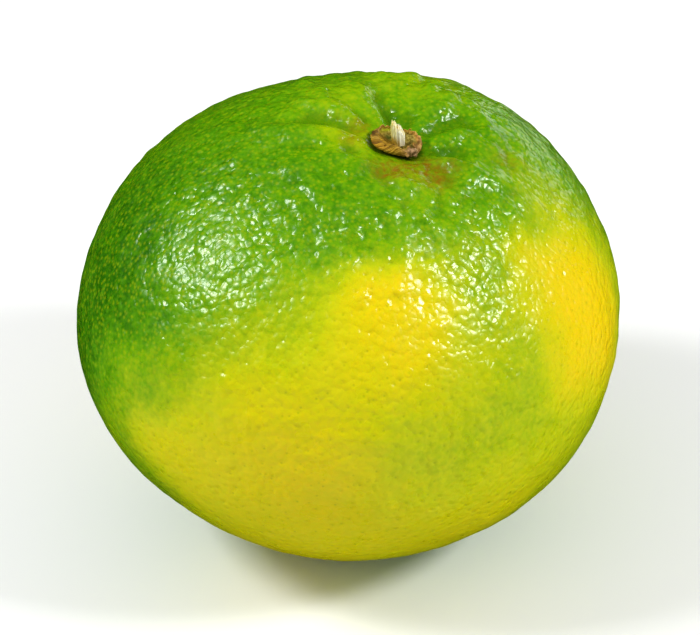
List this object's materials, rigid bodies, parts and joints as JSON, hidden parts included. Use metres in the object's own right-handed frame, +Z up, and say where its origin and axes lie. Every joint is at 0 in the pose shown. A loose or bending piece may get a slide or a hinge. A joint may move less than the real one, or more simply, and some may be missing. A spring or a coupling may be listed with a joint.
{
  "type": "sweet orange",
  "caption": "Green to yellow ripening sweet orange with pitted peel, a sunken furrowed stem end, a woody calyx cup and a torn stalk stub, lying on a small flat spot.",
  "frame": {"origin": "on the surface that the fruit rests on, under the middle of its box", "axes": "+X along the widest side, +Y across it, +Z up; the stem end tips towards +X and -Y"},
  "size_m": [0.0798, 0.0766, 0.0681],
  "materials": {
    "peel": "waxy, finely pitted, satin to gloss",
    "calyx_bark": "dry and matt",
    "stub_wood": "raw torn wood, matt"
  },
  "bodies": {
    "root": {"fruit": "peel", "calyx": "calyx_bark", "stem_stub": "stub_wood"}
  },
  "joints": []
}
